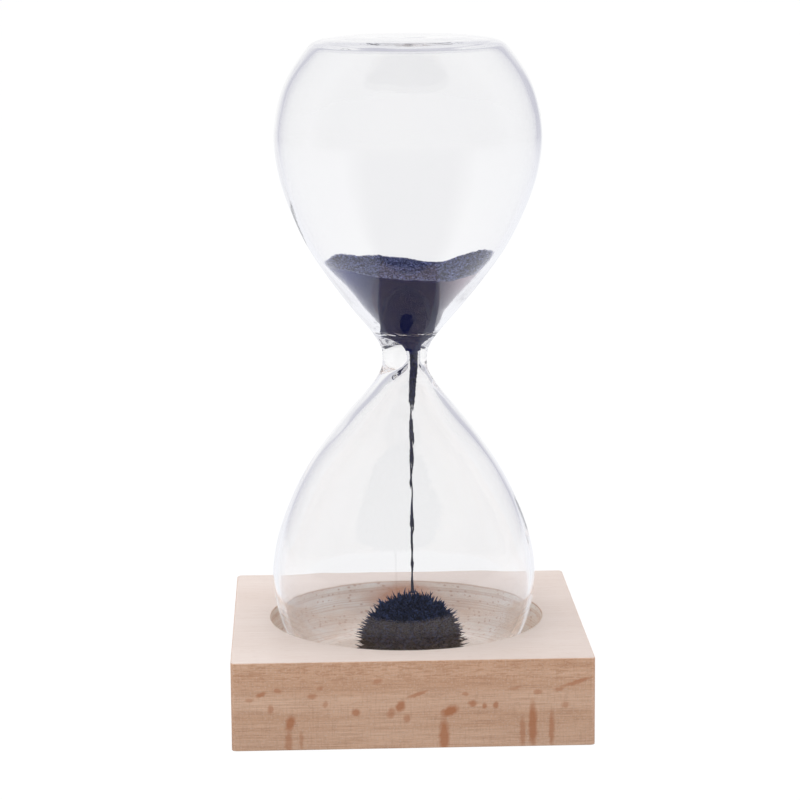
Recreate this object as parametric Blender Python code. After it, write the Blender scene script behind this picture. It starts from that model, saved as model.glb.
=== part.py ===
"""Magnetic hourglass: a glass double bulb of iron filings that stands in a square beech block
with a magnet inside.  Metres, +Z up, the block's underside at z = 0, its front face towards -Y."""

import math

import bmesh
import bpy
from mathutils import Vector

# ---- driving dimensions -------------------------------------------------------------------
GAP = 0.0003                    # air left between two pieces that touch

BASE_SIDE = 0.080
BASE_HEIGHT = 0.020
EDGE_EASE = 0.0007              # small bevel on every edge of the block

RECESS_RADIUS = 0.0315
RECESS_FLOOR_Z = 0.0067
RECESS_COVE = 0.0060            # round between the recess wall and its floor

POCKET_RADIUS = 0.0135          # blind hole under the recess that holds the magnet
POCKET_TOP_Z = 0.0051
COVER_THICKNESS = 0.0015
MAGNET_RADIUS = 0.0125
MAGNET_THICKNESS = 0.0030
MAGNET_EDGE = 0.0004

WALL = 0.0012                   # glass wall of the bulbs
END_WALL = 0.0018               # glass wall of the flat ends
GLASS_BOTTOM_Z = RECESS_FLOOR_Z + GAP
BULB_LENGTH = 0.0733            # waist to either flat end
WAIST_Z = GLASS_BOTTOM_Z + BULB_LENGTH
LOWER_AXIS_X = -0.00045         # the two bulbs are blown a little out of line:
UPPER_AXIS_X = 0.00115          # the lower one stands left of the block's middle, the upper right
AXIS_BEND_LOW_Z = 0.050         # the centre line crosses over between these heights
AXIS_BEND_HIGH_Z = 0.130
BORE_RADIUS = 0.00105
BORE_OFFSET = 0.0014            # the hand-drawn bore runs beside the glass's own axis
BORE_BLEND = 0.013              # distance from the waist over which that offset dies out
FILL_HOLE_RADIUS = 0.0030

FILINGS_TIP = 0.0030            # lowest point of the upper charge, above the waist
SURFACE_MID = 0.0202            # height above the waist of the middle of the upper charge

STREAM_RADIUS = 0.00072
THREAD_RADIUS = 0.00045         # the stream's radius where it has thinned to a thread
STREAM_NARROWS = 0.010          # distance below the waist at which it has thinned

PILE_CENTRE_X = 0.0011
PILE_CENTRE_Z = 0.0130
PILE_RADIUS = 0.0116
SPIKE_LENGTH = 0.0019
SPIKE_FREE_RADIUS = 0.0044      # smooth crown, where the stream's foot circles as the glass turns
SPIKE_FREE_HEIGHT = 0.0012      # smooth foot above the glass

SEGMENTS = 36                   # facets round the glass
PROFILE_STEPS = 2               # pieces to a span of the glass's outline
RECESS_SEGMENTS = 72

# outer half profile of the glass: radius, distance from the waist
OUTER_POINTS = (
    (0.00500, 0.0),
    (0.00560, 0.0030),
    (0.00825, 0.0070),
    (0.01290, 0.0125),
    (0.01830, 0.0195),
    (0.02290, 0.0265),
    (0.02660, 0.0343),
    (0.02925, 0.0422),
    (0.03035, 0.0505),
    (0.02940, 0.0580),
    (0.02710, 0.0643),
    (0.02280, 0.0706),
    (0.02030, 0.0724),
    (0.01650, BULB_LENGTH),
)
# how the bore opens out above and below the waist: radius, distance from the waist
UPPER_THROAT = (
    (BORE_RADIUS, 0.0),
    (0.00110, 0.0026),
    (0.00128, 0.0040),
    (0.00165, 0.0050),
    (0.00245, 0.0059),
    (0.00390, 0.0066),
    (0.00590, 0.0073),
)
LOWER_THROAT = (
    (BORE_RADIUS, 0.0),
    (0.00130, 0.0011),
    (0.00230, 0.0025),
    (0.00480, 0.0055),
)
# rim of the upper charge: direction in degrees (0 right, 90 back), height above the waist
RIM_POINTS = (
    (0, 0.0240),
    (30, 0.0228),
    (60, 0.0197),
    (90, 0.0206),
    (150, 0.0225),
    (170, 0.0221),
    (220, 0.0226),
    (270, 0.0208),
    (310, 0.0202),
    (340, 0.0233),
    (360, 0.0240),
)
NECK_WALL = 0.0020              # glass wall where the throat ends; it thins towards the bulb
NECK_END = 0.0065               # beyond this the cavity follows the outer profile
NECK_THINS = 0.016              # distance over which the wall thins


# ---- helpers ------------------------------------------------------------------------------
def clear_scene():
    for old in list(bpy.data.objects):
        bpy.data.objects.remove(old, do_unlink=True)


def make_material(name, colour, roughness, metallic=0.0, transmission=0.0):
    material = bpy.data.materials.new(name)
    material.use_nodes = True
    shader = material.node_tree.nodes["Principled BSDF"]
    shader.inputs["Base Color"].default_value = (*colour, 1.0)
    shader.inputs["Roughness"].default_value = roughness
    shader.inputs["Metallic"].default_value = metallic
    shader.inputs["Transmission Weight"].default_value = transmission
    return material


def add_object(name, bm, material=None, smooth=False):
    """Turns a bmesh into an object with outward normals."""
    bmesh.ops.remove_doubles(bm, verts=bm.verts, dist=1e-7)
    bmesh.ops.recalc_face_normals(bm, faces=bm.faces)
    mesh = bpy.data.meshes.new(name)
    bm.to_mesh(mesh)
    bm.free()
    obj = bpy.data.objects.new(name, mesh)
    bpy.context.scene.collection.objects.link(obj)
    if material is not None:
        mesh.materials.append(material)
    if smooth:
        mesh.shade_smooth()
    return obj


def add_empty(name, location, parent=None):
    empty = bpy.data.objects.new(name, None)
    empty.location = location
    empty.parent = parent
    bpy.context.scene.collection.objects.link(empty)
    return empty


def ride_on(obj, parent):
    """Parents without moving: the mesh is already in world coordinates."""
    obj.parent = parent
    obj.location = -Vector(parent_place(parent))


def parent_place(parent):
    place = Vector(parent.location)
    return place if parent.parent is None else place + Vector(parent_place(parent.parent))


def curve_through(points, steps):
    """Catmull-Rom curve through 2-D points, with `steps` pieces to a span."""
    first = [2 * a - b for a, b in zip(points[0], points[1])]
    last = [2 * a - b for a, b in zip(points[-1], points[-2])]
    ctrl = [first, *points, last]
    curve = []
    for i in range(1, len(ctrl) - 2):
        before, start, end, after = ctrl[i - 1:i + 3]
        for step in range(steps):
            t = step / steps
            curve.append(tuple(
                0.5 * (2 * b + (c - a) * t + (2 * a - 5 * b + 4 * c - d) * t ** 2
                       + (3 * b - a - 3 * c + d) * t ** 3)
                for a, b, c, d in zip(before, start, end, after)
            ))
    curve.append(tuple(points[-1]))
    return curve


def spin_outline(outline, segments):
    """Turns an outline of (radius, z), both ends on the axis, into a closed solid of revolution."""
    bm = bmesh.new()
    verts = [bm.verts.new((radius, 0.0, z)) for radius, z in outline]
    edges = [bm.edges.new(pair) for pair in zip(verts, verts[1:])]
    bmesh.ops.spin(
        bm, geom=verts + edges, cent=(0, 0, 0), axis=(0, 0, 1), angle=2 * math.pi,
        steps=segments, use_merge=True,
    )
    bmesh.ops.remove_doubles(bm, verts=bm.verts, dist=1e-7)
    return bm


def cut(target, bm, name):
    """Subtracts a bmesh from an object, with an exact Boolean."""
    cutter = add_object(name, bm)
    cutter.hide_render = True
    cutter.display_type = "WIRE"
    boolean = target.modifiers.new(name, "BOOLEAN")
    boolean.operation = "DIFFERENCE"
    boolean.solver = "EXACT"
    boolean.object = cutter
    return cutter


# ---- glass shape --------------------------------------------------------------------------
def outer_half():
    return curve_through(OUTER_POINTS, PROFILE_STEPS)


def cavity_half(throat):
    """Inner profile of one bulb: its throat, then the outer profile moved in by the wall."""
    outer = outer_half()
    points = list(throat)
    for before, here, after in zip(outer, outer[1:], outer[2:]):
        if here[1] < NECK_END:
            continue
        along_r = after[0] - before[0]
        along_s = after[1] - before[1]
        length = math.hypot(along_r, along_s)
        neck = 1 - ease((here[1] - NECK_END) / NECK_THINS)
        end = max(0.0, (here[1] - 0.055) / (BULB_LENGTH - 0.055))
        wall = WALL + (NECK_WALL - WALL) * neck + (END_WALL - WALL) * end
        points.append((here[0] - wall * along_s / length, here[1] + wall * along_r / length))
    return [p for p in points if p[1] < BULB_LENGTH - END_WALL - 0.0002]


def cavity_radius(height):
    """Cavity radius of the upper bulb at a height above the waist."""
    profile = cavity_half(UPPER_THROAT)
    for low, high in zip(profile, profile[1:]):
        if low[1] <= height <= high[1]:
            share = (height - low[1]) / (high[1] - low[1])
            return low[0] + share * (high[0] - low[0])
    return profile[-1][0]


def ease(share):
    """Smooth step from 0 to 1."""
    share = min(1.0, max(0.0, share))
    return share * share * (3 - 2 * share)


def axis_x(z):
    """Centre line of the glass, which bends over from the lower bulb to the upper."""
    share = ease((z - AXIS_BEND_LOW_Z) / (AXIS_BEND_HIGH_Z - AXIS_BEND_LOW_Z))
    return LOWER_AXIS_X + (UPPER_AXIS_X - LOWER_AXIS_X) * share


def cavity_x(z):
    """Centre line of the cavity: the glass's own, moved over by the bore near the waist."""
    return axis_x(z) + BORE_OFFSET * (1 - ease(abs(z - WAIST_Z) / BORE_BLEND))


# ---- wooden block -------------------------------------------------------------------------
def recess_outline():
    """Section of the turned recess, from the floor's middle out to above the block's top."""
    arc_steps = 8
    outline = [(0.0, RECESS_FLOOR_Z)]
    centre_r = RECESS_RADIUS - RECESS_COVE
    centre_z = RECESS_FLOOR_Z + RECESS_COVE
    for step in range(arc_steps + 1):
        angle = math.pi / 2 * step / arc_steps
        outline.append((
            centre_r + RECESS_COVE * math.sin(angle),
            centre_z - RECESS_COVE * math.cos(angle),
        ))
    outline.append((RECESS_RADIUS, BASE_HEIGHT + 0.005))
    outline.append((0.0, BASE_HEIGHT + 0.005))
    return outline


def build_base():
    beech = make_material("beech", (0.62, 0.44, 0.30), 0.55)
    bm = bmesh.new()
    bmesh.ops.create_cube(bm, size=1.0)
    bmesh.ops.scale(bm, vec=(BASE_SIDE, BASE_SIDE, BASE_HEIGHT), verts=bm.verts)
    bmesh.ops.translate(bm, vec=(0, 0, BASE_HEIGHT / 2), verts=bm.verts)
    bmesh.ops.bevel(
        bm, geom=list(bm.edges), offset=EDGE_EASE, offset_type="OFFSET", segments=2,
        profile=0.5, affect="EDGES",
    )
    base = add_object("wooden_base", bm, beech)
    cut(base, spin_outline(recess_outline(), RECESS_SEGMENTS), "recess_cutter")
    pocket = [
        (0.0, -0.005),
        (POCKET_RADIUS, -0.005),
        (POCKET_RADIUS, POCKET_TOP_Z),
        (0.0, POCKET_TOP_Z),
    ]
    cut(base, spin_outline(pocket, SEGMENTS), "pocket_cutter")
    return base


def disc_outline(radius, low, high, edge):
    """Disc with eased rims."""
    return [
        (0.0, low),
        (radius - edge, low),
        (radius, low + edge),
        (radius, high - edge),
        (radius - edge, high),
        (0.0, high),
    ]


def build_magnet():
    ferrite = make_material("ferrite", (0.05, 0.05, 0.055), 0.5, metallic=0.4)
    low = POCKET_TOP_Z - GAP - MAGNET_THICKNESS
    outline = disc_outline(MAGNET_RADIUS, low, low + MAGNET_THICKNESS, MAGNET_EDGE)
    return add_object("magnet_disc", spin_outline(outline, SEGMENTS), ferrite)


def build_cover():
    veneer = make_material("cover_beech", (0.60, 0.43, 0.30), 0.6)
    outline = disc_outline(POCKET_RADIUS - GAP, 0.0, COVER_THICKNESS, EDGE_EASE / 2)
    return add_object("magnet_cover", spin_outline(outline, SEGMENTS), veneer)


# ---- glass --------------------------------------------------------------------------------
def build_glass():
    glass = make_material("clear_glass", (0.95, 0.97, 0.98), 0.02, transmission=0.9)
    outer = outer_half()
    top = [(0.0, WAIST_Z + BULB_LENGTH)]
    top += [(r, WAIST_Z + s) for r, s in reversed(outer)]
    bottom = [(r, WAIST_Z - s) for r, s in outer[1:]]
    hole = [
        (FILL_HOLE_RADIUS, GLASS_BOTTOM_Z),
        (FILL_HOLE_RADIUS, GLASS_BOTTOM_Z + END_WALL),
    ]
    lower = [(r, WAIST_Z - s) for r, s in reversed(cavity_half(LOWER_THROAT))]
    upper = [(r, WAIST_Z + s) for r, s in cavity_half(UPPER_THROAT)[1:]]
    lower_floor = [(lower[0][0] - 0.0025, GLASS_BOTTOM_Z + END_WALL)]
    upper_roof = [(upper[-1][0] - 0.0025, WAIST_Z + BULB_LENGTH - END_WALL)]
    end = [(0.0, WAIST_Z + BULB_LENGTH - END_WALL)]
    outline = top + bottom + hole + lower_floor + lower + upper + upper_roof + end
    bm = spin_outline(outline, SEGMENTS)
    for vert in bm.verts:
        inside = math.hypot(vert.co.x, vert.co.y) < outer_radius(vert.co.z) - WALL / 2
        vert.co.x += cavity_x(vert.co.z) if inside else axis_x(vert.co.z)
    return add_object("glass_vessel", bm, glass, smooth=True)


def outer_radius(z):
    away = abs(z - WAIST_Z)
    profile = outer_half()
    for low, high in zip(profile, profile[1:]):
        if low[1] <= away <= high[1]:
            share = (away - low[1]) / (high[1] - low[1])
            return low[0] + share * (high[0] - low[0])
    return profile[-1][0]


def build_plug():
    """Stopper in the hole through which the vessel was filled."""
    stopper = make_material("stopper", (0.85, 0.87, 0.88), 0.25, transmission=0.4)
    outline = disc_outline(
        FILL_HOLE_RADIUS - GAP, GLASS_BOTTOM_Z, GLASS_BOTTOM_Z + END_WALL, EDGE_EASE / 2,
    )
    bm = spin_outline(outline, SEGMENTS // 2)
    bmesh.ops.translate(bm, vec=(LOWER_AXIS_X, 0, 0), verts=bm.verts)
    return add_object("fill_plug", bm, stopper)


# ---- iron filings -------------------------------------------------------------------------
def make_filings(name):
    return make_material(name, (0.016, 0.018, 0.032), 0.6, metallic=0.3)


def rim_height(angle):
    """Height above the waist of the charge's rim, eased from one rim point to the next."""
    degrees = math.degrees(angle) % 360
    for (start, low), (end, high) in zip(RIM_POINTS, RIM_POINTS[1:]):
        if start <= degrees <= end:
            return low + (high - low) * ease((degrees - start) / (end - start))
    return RIM_POINTS[0][1]


def build_charge():
    """Filings still in the upper bulb: a funnel-shaped heap with an uneven top."""
    side_steps = 12
    top_rings = 5
    bm = bmesh.new()
    tip_z = WAIST_Z + FILINGS_TIP
    crown_z = WAIST_Z + SURFACE_MID
    tip = bm.verts.new((cavity_x(tip_z), 0.0, tip_z))
    crown = bm.verts.new((cavity_x(crown_z), 0.0, crown_z))
    columns = []
    for segment in range(SEGMENTS):
        angle = 2 * math.pi * segment / SEGMENTS
        rim = rim_height(angle)
        column = []
        for step in range(side_steps + 1):
            height = FILINGS_TIP + (rim - FILINGS_TIP) * (step / side_steps) ** 1.4
            radius = cavity_radius(height) - 1.6 * GAP
            column.append((radius, height))
        for ring in range(top_rings, 0, -1):
            share = ring / (top_rings + 1)
            radius = column[side_steps][0] * share
            column.append((radius, SURFACE_MID + (rim - SURFACE_MID) * share ** 2))
        columns.append([
            bm.verts.new((
                radius * math.cos(angle) + cavity_x(WAIST_Z + height),
                radius * math.sin(angle),
                WAIST_Z + height,
            ))
            for radius, height in column
        ])
    for left, right in zip(columns, columns[1:] + columns[:1]):
        bm.faces.new((tip, right[0], left[0]))
        bm.faces.new((crown, left[-1], right[-1]))
        for low_l, high_l, low_r, high_r in zip(left, left[1:], right, right[1:]):
            bm.faces.new((low_l, low_r, high_r, high_l))
    return add_object("upper_filings", bm, make_filings("upper_iron"))


def stream_radius(drop):
    """Stream radius at a distance below the waist, negative inside the throat."""
    thinning = min(1.0, max(0.0, drop / STREAM_NARROWS))
    beads = 0.06 * math.sin(drop * 900) + 0.05 * math.sin(drop * 2100 + 1)
    return (STREAM_RADIUS + (THREAD_RADIUS - STREAM_RADIUS) * thinning) * (1 + beads * thinning)


def build_stream():
    sides = 12
    rings = 44
    top_z = WAIST_Z + FILINGS_TIP - GAP
    crown_z = PILE_CENTRE_Z + PILE_RADIUS
    bottom_z = crown_z + GAP
    centre_x = cavity_x(WAIST_Z)
    bm = bmesh.new()
    loops = []
    for ring in range(rings + 1):
        z = top_z + (bottom_z - top_z) * ring / rings
        radius = stream_radius(WAIST_Z - z)
        loops.append([
            bm.verts.new((
                centre_x + radius * math.cos(2 * math.pi * side / sides),
                radius * math.sin(2 * math.pi * side / sides),
                z,
            ))
            for side in range(sides)
        ])
    for upper, lower in zip(loops, loops[1:]):
        for side in range(sides):
            after = (side + 1) % sides
            bm.faces.new((upper[side], upper[after], lower[after], lower[side]))
    bm.faces.new(loops[0])
    bm.faces.new(loops[-1])
    return add_object("falling_stream", bm, make_filings("stream_iron"))


def build_pile():
    """Filings drawn to the magnet: a dome that bristles with spikes."""
    floor_z = GLASS_BOTTOM_Z + END_WALL + GAP
    bm = bmesh.new()
    bmesh.ops.create_icosphere(bm, subdivisions=4, radius=PILE_RADIUS)
    bmesh.ops.translate(bm, vec=(PILE_CENTRE_X, 0, PILE_CENTRE_Z), verts=bm.verts)
    bmesh.ops.bisect_plane(
        bm, geom=list(bm.verts) + list(bm.edges) + list(bm.faces), plane_co=(0, 0, floor_z),
        plane_no=(0, 0, -1), clear_outer=True,
    )
    rim = [edge for edge in bm.edges if edge.is_boundary]
    bmesh.ops.contextual_create(bm, geom=rim)
    centre = Vector((PILE_CENTRE_X, 0, PILE_CENTRE_Z))
    bristling = []
    for face in bm.faces:
        middle = face.calc_center_median()
        off_axis = math.hypot(middle.x - centre.x, middle.y)
        on_crown = off_axis < SPIKE_FREE_RADIUS and middle.z > centre.z
        if middle.z > floor_z + SPIKE_FREE_HEIGHT and not on_crown:
            bristling.append(face)
    made = bmesh.ops.poke(bm, faces=bristling)
    for number, vert in enumerate(made["verts"]):
        length = SPIKE_LENGTH * (0.55 + 0.45 * math.sin(number * 2.4) ** 2)
        vert.co += (vert.co - centre).normalized() * length
    return add_object("filings_pile", bm, make_filings("pile_iron"))


# ---- assembly -----------------------------------------------------------------------------
def main():
    clear_scene()
    build_base()
    build_magnet()
    build_cover()
    lift = add_empty("vessel_lift", (LOWER_AXIS_X, 0, GLASS_BOTTOM_Z))
    ride_on(build_pile(), lift)
    turn = add_empty("vessel_spin", (0, 0, BULB_LENGTH), lift)
    for build in (build_glass, build_plug, build_charge, build_stream):
        ride_on(build(), turn)


main()
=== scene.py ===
import math

import bmesh
import bpy
import numpy as np
from mathutils import Matrix, Vector, noise


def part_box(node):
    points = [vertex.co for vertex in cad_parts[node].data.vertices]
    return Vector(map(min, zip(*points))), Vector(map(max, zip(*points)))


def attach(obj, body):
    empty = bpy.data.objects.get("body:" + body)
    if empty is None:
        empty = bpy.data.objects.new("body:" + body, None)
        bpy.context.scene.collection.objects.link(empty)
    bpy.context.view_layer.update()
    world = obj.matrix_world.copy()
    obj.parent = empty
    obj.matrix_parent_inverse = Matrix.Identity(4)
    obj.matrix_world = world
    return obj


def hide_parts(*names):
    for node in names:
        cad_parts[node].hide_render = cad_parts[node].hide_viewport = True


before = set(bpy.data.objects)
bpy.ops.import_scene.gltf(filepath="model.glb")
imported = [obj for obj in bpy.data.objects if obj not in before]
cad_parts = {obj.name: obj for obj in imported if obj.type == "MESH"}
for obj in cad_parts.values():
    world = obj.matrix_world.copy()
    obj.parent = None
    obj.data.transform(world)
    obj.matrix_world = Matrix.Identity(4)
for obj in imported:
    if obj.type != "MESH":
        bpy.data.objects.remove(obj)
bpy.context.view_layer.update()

SEED = 7
MM = 0.001
rng = np.random.default_rng(SEED)
TURN = 2 * math.pi

# ---- sizes taken from the frame ----
base_low, base_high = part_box("wooden_base")
glass_low, glass_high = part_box("glass_vessel")
stream_low, stream_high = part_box("falling_stream")
pile_low, pile_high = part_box("filings_pile")
plug_low, plug_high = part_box("fill_plug")
cover_low, cover_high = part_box("magnet_cover")

GAP = 0.0003  # air between pieces that don't touch
BASE_HALF = (base_high.x - base_low.x) / 2
BASE_TOP = base_high.z
EDGE_EASE = 0.0010  # rounding of the block's upright edges
TOP_EASE = 0.0004
FOOT_EASE = 0.0002
RECESS_RADIUS = 0.0315
RECESS_LIP = 0.0003  # rounding of the recess's rim
RECESS_COVE = 0.0060  # round between the recess wall and its floor
RECESS_FLOOR = glass_low.z - GAP
POCKET_RADIUS = (cover_high.x - cover_low.x) / 2 + GAP
POCKET_TOP = 0.0051

GLASS_BOTTOM = glass_low.z
BULB_LENGTH = (glass_high.z - GLASS_BOTTOM) / 2
WAIST = GLASS_BOTTOM + BULB_LENGTH
WALL = 0.0012
END_WALL = plug_high.z - plug_low.z
LOWER_AXIS_X = (plug_low.x + plug_high.x) / 2
UPPER_AXIS_X = 0.00115  # the upper bulb leans over to the right of the lower one
AXIS_BEND_LOW = 0.050  # the centre line bends between these two heights
AXIS_BEND_HIGH = 0.130
HOLE_RADIUS = (plug_high.x - plug_low.x) / 2 + GAP
BORE_RADIUS = 0.00105
STREAM_X = (stream_low.x + stream_high.x) / 2
BORE_BLEND = 0.013  # distance from the waist over which the bore finds the centre
SKIN = 0.00008  # air between the filings and the glass they lie against

# outer half profile of the glass: radius, distance from the waist
OUTER_POINTS = (
    (0.00500, 0.0), (0.00560, 0.0030), (0.00825, 0.0070), (0.01290, 0.0125),
    (0.01830, 0.0195), (0.02290, 0.0265), (0.02660, 0.0343), (0.02925, 0.0422),
    (0.03035, 0.0505), (0.02940, 0.0580), (0.02710, 0.0643), (0.02280, 0.0706),
    (0.02030, 0.0724), (0.01680, BULB_LENGTH - 0.00030), (0.01450, BULB_LENGTH - 0.00006),
    (0.01300, BULB_LENGTH),
)
# how the bore opens out above and below the waist: radius, distance from the waist
UPPER_THROAT = (
    (BORE_RADIUS, 0.0), (0.00110, 0.0026), (0.00128, 0.0040), (0.00165, 0.0050),
    (0.00245, 0.0059), (0.00390, 0.0066), (0.00590, 0.0073),
)
LOWER_THROAT = ((BORE_RADIUS, 0.0), (0.00130, 0.0011), (0.00230, 0.0025), (0.00480, 0.0055))
NECK_WALL = 0.0020  # glass wall where the throat ends; it thins towards the bulb
NECK_END = 0.0078
NECK_THINS = 0.016  # distance over which it thins
END_THICKENS = 0.055  # distance from the waist where the wall thickens to the end's
FLAT_START = 0.0122  # the flat ends are drawn as rings inwards from this radius
FLAT_STEP = 0.0006
FLAT_RINGS = 20
FLAT_DISH = 0.0002  # hollow in the middle of the flat ends


# ---- mesh helpers ----
def add_mesh(name, verts, faces, smooth=True, sharp_angle=None):
    """Object from vertex and face lists, shaded smooth but for edges over sharp_angle."""
    mesh = bpy.data.meshes.new(name)
    mesh.from_pydata(np.asarray(verts, float).tolist(), [], faces)
    mesh.validate()
    bm = bmesh.new()
    bm.from_mesh(mesh)
    bmesh.ops.remove_doubles(bm, verts=bm.verts, dist=1e-8)
    bmesh.ops.recalc_face_normals(bm, faces=bm.faces)
    for face in bm.faces:
        face.smooth = smooth
    if sharp_angle is not None:
        for edge in bm.edges:
            if len(edge.link_faces) == 2 and edge.calc_face_angle() > sharp_angle:
                edge.smooth = False
    bm.to_mesh(mesh)
    bm.free()
    obj = bpy.data.objects.new(name, mesh)
    bpy.context.scene.collection.objects.link(obj)
    return obj


def curve_through(points, steps):
    """Catmull-Rom curve through 2-D points, with `steps` pieces to a span."""
    first = [2 * a - b for a, b in zip(points[0], points[1])]
    last = [2 * a - b for a, b in zip(points[-1], points[-2])]
    ctrl = [first, *points, last]
    curve = []
    for i in range(1, len(ctrl) - 2):
        before, start, end, after = ctrl[i - 1:i + 3]
        for step in range(steps):
            t = step / steps
            curve.append(tuple(
                0.5 * (2 * b + (c - a) * t + (2 * a - 5 * b + 4 * c - d) * t ** 2
                       + (3 * b - a - 3 * c + d) * t ** 3)
                for a, b, c, d in zip(before, start, end, after)
            ))
    curve.append(tuple(points[-1]))
    return curve


def loft(rings):
    """Vertices and faces of a skin over equal rings of points, with a point at each end."""
    count = len(rings[0])
    verts = [p for ring in rings for p in ring]
    faces = []
    for r in range(len(rings) - 1):
        a = r * count
        b = a + count
        for i in range(count):
            j = (i + 1) % count
            faces.append((a + i, a + j, b + j, b + i))
    for start in (0, (len(rings) - 1) * count):
        middle = np.mean(np.asarray(verts[start:start + count]), axis=0)
        verts.append(tuple(middle))
        end = len(verts) - 1
        for i in range(count):
            faces.append((start + i, start + (i + 1) % count, end))
    return verts, faces


def ease(share):
    """Smooth step from 0 to 1."""
    share = min(1.0, max(0.0, share))
    return share * share * (3 - 2 * share)


# ---- node helpers ----
class Nodes:
    """Short calls for building one material's node tree."""

    def __init__(self, owner):
        owner.use_nodes = True
        self.owner = owner
        self.tree = owner.node_tree
        self.shader = self.tree.nodes.get("Principled BSDF")
        self.output = self.tree.nodes.get("Material Output")

    def node(self, kind, inputs=(), **settings):
        made = self.tree.nodes.new(kind)
        for key, value in settings.items():
            setattr(made, key, value)
        for key, value in dict(inputs).items():
            self.feed(made.inputs[key], value)
        return made

    def feed(self, socket, value):
        if isinstance(value, bpy.types.NodeSocket):
            self.tree.links.new(value, socket)
        elif isinstance(value, bpy.types.Node):
            self.tree.links.new(value.outputs[0], socket)
        else:
            socket.default_value = value

    def math(self, operation, a, b=0.0, clamp=False):
        made = self.node("ShaderNodeMath", operation=operation, use_clamp=clamp)
        self.feed(made.inputs[0], a)
        self.feed(made.inputs[1], b)
        return made.outputs[0]

    def times(self, a, b):
        return self.math("MULTIPLY", a, b)

    def coords(self):
        return self.node("ShaderNodeTexCoord").outputs["Object"]

    def mapped(self, vector, scale=(1, 1, 1), location=(0, 0, 0), rotation=(0, 0, 0)):
        inputs = {"Vector": vector, "Scale": scale, "Location": location, "Rotation": rotation}
        return self.node("ShaderNodeMapping", inputs).outputs[0]

    def noise(self, vector, scale=1.0, detail=3.0, roughness=0.5, distortion=0.0):
        inputs = {
            "Vector": vector, "Scale": scale, "Detail": detail, "Roughness": roughness,
            "Distortion": distortion,
        }
        return self.node("ShaderNodeTexNoise", inputs).outputs["Fac"]

    def span(self, value, low, high, to_low=0.0, to_high=1.0):
        inputs = {
            "Value": value, "From Min": low, "From Max": high, "To Min": to_low,
            "To Max": to_high,
        }
        return self.node("ShaderNodeMapRange", inputs).outputs[0]

    def mix(self, share, a, b):
        made = self.node("ShaderNodeMix", data_type="RGBA", clamp_factor=True)
        self.feed(made.inputs[0], share)
        self.feed(made.inputs[6], a)
        self.feed(made.inputs[7], b)
        return made.outputs[2]

    def layered(self, base, *layers):
        """The base colour with each share and colour laid over it in turn."""
        for share, colour in layers:
            base = self.mix(share, base, colour)
        return base

    def bump(self, height, strength, distance):
        inputs = {"Height": height, "Strength": strength, "Distance": distance}
        return self.node("ShaderNodeBump", inputs).outputs[0]


def rgb(red, green, blue):
    """Linear colour from 0-255 display values."""
    def linear(value):
        value /= 255
        return value / 12.92 if value <= 0.04045 else ((value + 0.055) / 1.055) ** 2.4
    return linear(red), linear(green), linear(blue), 1.0


# ---- materials ----
FLECK_SPREAD = 1.25  # how far a fleck fades out past its half sizes
FLECK_DEPTH = 6.0  # and how far it goes into the block, in mm
# ray flecks of the front face, in mm: across from the middle, up from the underside, half
# width, half height, tilt in degrees, strength
FRONT_FLECKS = (
    (-35.9, 11.6, 1.0, 0.5, 10, 0.5), (-33.4, 12.8, 1.2, 0.6, 25, 0.8),
    (-29.8, 13.5, 1.0, 0.5, 0, 0.6), (-31.4, 9.4, 0.7, 1.1, -10, 0.6),
    (-27.1, 6.2, 1.1, 1.9, -15, 0.9), (-27.5, 1.8, 0.9, 3.2, 0, 0.6),
    (-24.7, 2.1, 0.5, 2.2, 0, 0.5), (-22.2, 12.2, 1.2, 0.7, 5, 0.6),
    (-20.5, 14.0, 0.8, 0.5, 5, 0.6), (-19.4, 10.3, 0.6, 0.8, -10, 0.5),
    (-12.7, 8.4, 1.1, 0.9, 15, 0.8), (-7.9, 15.4, 1.3, 0.7, 20, 0.5),
    (-4.9, 8.1, 1.0, 1.3, -15, 0.6), (-2.9, 9.6, 1.1, 1.4, -30, 0.9),
    (-1.5, 6.8, 0.8, 1.0, -10, 0.6), (0.9, 12.3, 2.4, 0.5, 18, 0.7),
    (8.0, 8.4, 2.1, 1.2, 25, 1.0), (6.7, 2.6, 1.2, 4.4, 0, 0.9),
    (11.4, 12.2, 0.8, 0.5, 5, 0.6), (13.0, 10.0, 1.0, 0.8, 10, 0.8),
    (15.5, 9.4, 0.5, 0.8, 0, 0.8), (18.1, 9.5, 0.6, 0.9, 0, 0.8),
    (22.3, 13.4, 1.6, 0.4, 15, 0.4), (24.0, 3.2, 0.7, 4.0, 0, 0.6),
    (26.2, 4.9, 1.0, 5.6, 0, 0.9), (30.4, 3.9, 0.7, 4.4, 0, 0.7),
    (27.3, 12.4, 1.0, 0.6, 10, 0.6), (36.0, 14.5, 3.6, 0.5, 17, 0.7),
    (32.0, 13.0, 1.3, 0.5, 15, 0.5), (33.4, 9.3, 0.8, 0.9, 20, 0.5),
)


def soft_ball(n, vector, middle, half_sizes, tilt=0.0):
    """1 in the middle of an ellipsoid, down to 0 at its surface; vector is in mm."""
    place = n.node(
        "ShaderNodeMapping",
        {
            "Vector": vector, "Location": middle, "Scale": half_sizes,
            "Rotation": (0, math.radians(-tilt), 0),
        },
        vector_type="TEXTURE",
    )
    ball = n.node("ShaderNodeTexGradient", {"Vector": place}, gradient_type="SPHERICAL")
    return ball.outputs["Fac"]


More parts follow.
